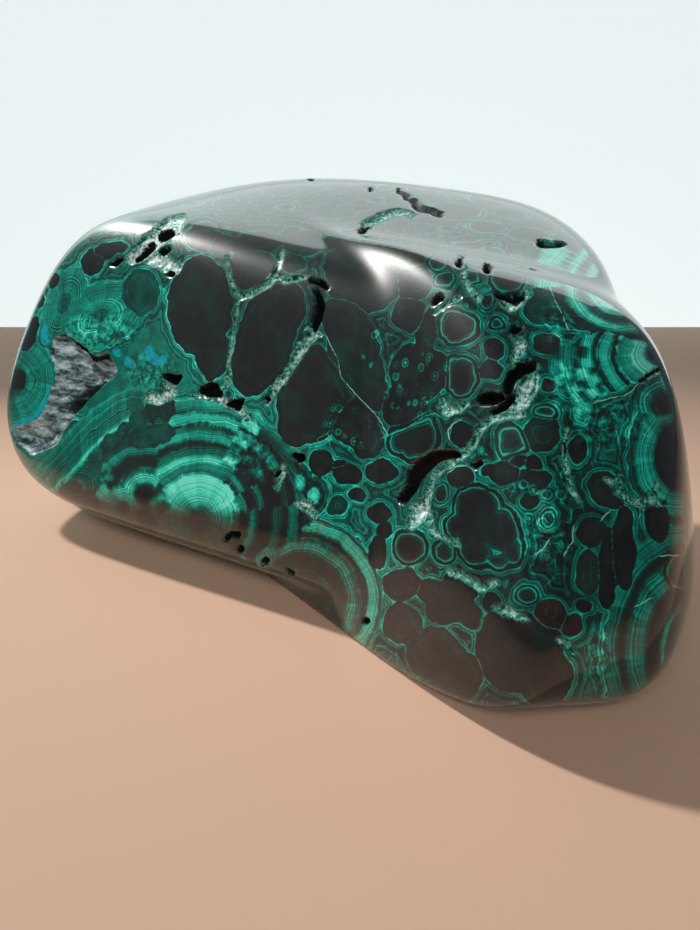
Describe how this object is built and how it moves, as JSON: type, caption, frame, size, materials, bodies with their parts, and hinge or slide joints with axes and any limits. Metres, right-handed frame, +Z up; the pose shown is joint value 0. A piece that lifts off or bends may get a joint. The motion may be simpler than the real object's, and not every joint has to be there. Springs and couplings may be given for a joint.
{
  "type": "polished malachite specimen",
  "caption": "Free-form lump of banded green malachite, ground and polished all over, with natural druse cavities and a flat base to stand on.",
  "frame": {"origin": "on the flat base, under the middle of the stone's bounding box", "axes": "+X along the stone's length towards its round nose, -Y out of its show face, +Z up from the base"},
  "size_m": [0.194, 0.1244, 0.1004],
  "materials": {
    "malachite_stone": "polished"
  },
  "bodies": {
    "root": {"malachite_stone": "malachite_stone"}
  },
  "joints": []
}
